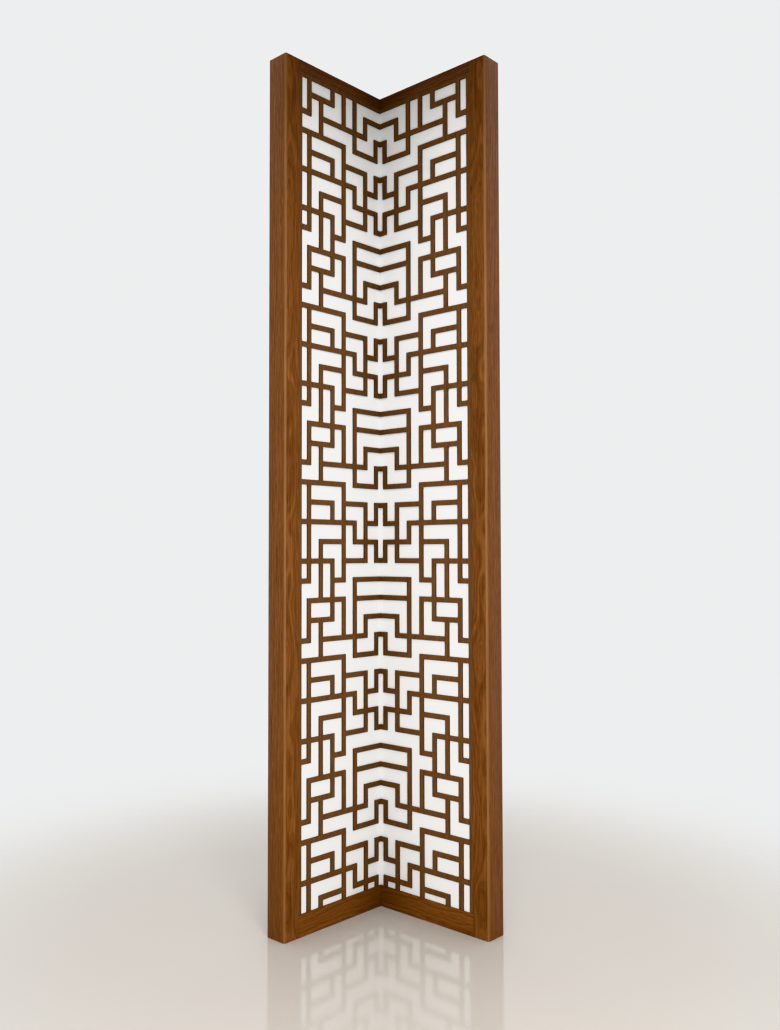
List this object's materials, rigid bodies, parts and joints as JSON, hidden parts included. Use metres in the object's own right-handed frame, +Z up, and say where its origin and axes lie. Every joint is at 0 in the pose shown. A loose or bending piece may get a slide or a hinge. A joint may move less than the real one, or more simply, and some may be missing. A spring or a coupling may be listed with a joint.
{
  "type": "partition panel",
  "caption": "Inside-corner timber lattice screen, floor to ceiling: mirrored leaves meet in a mitre, each with a stile, rails, a fretted lattice and a white backing.",
  "frame": {"origin": "middle of the footprint's box, on the floor", "axes": "+Z up, +Y from the open front towards the room corner, +X to the right seen from the front"},
  "size_m": [0.6902, 0.3942, 2.6],
  "materials": {
    "timber": "stained mid brown, satin lacquer, straight grain",
    "fret_timber": "stained mid brown, satin lacquer, cut from one board",
    "white_board": "smooth matt white paint on board"
  },
  "bodies": {
    "root": {"left_stile": "timber", "left_top_rail": "timber", "left_bottom_rail": "timber", "left_lattice": "fret_timber", "left_backing_board": "white_board", "right_stile": "timber", "right_top_rail": "timber", "right_bottom_rail": "timber", "right_lattice": "fret_timber", "right_backing_board": "white_board"}
  },
  "joints": []
}
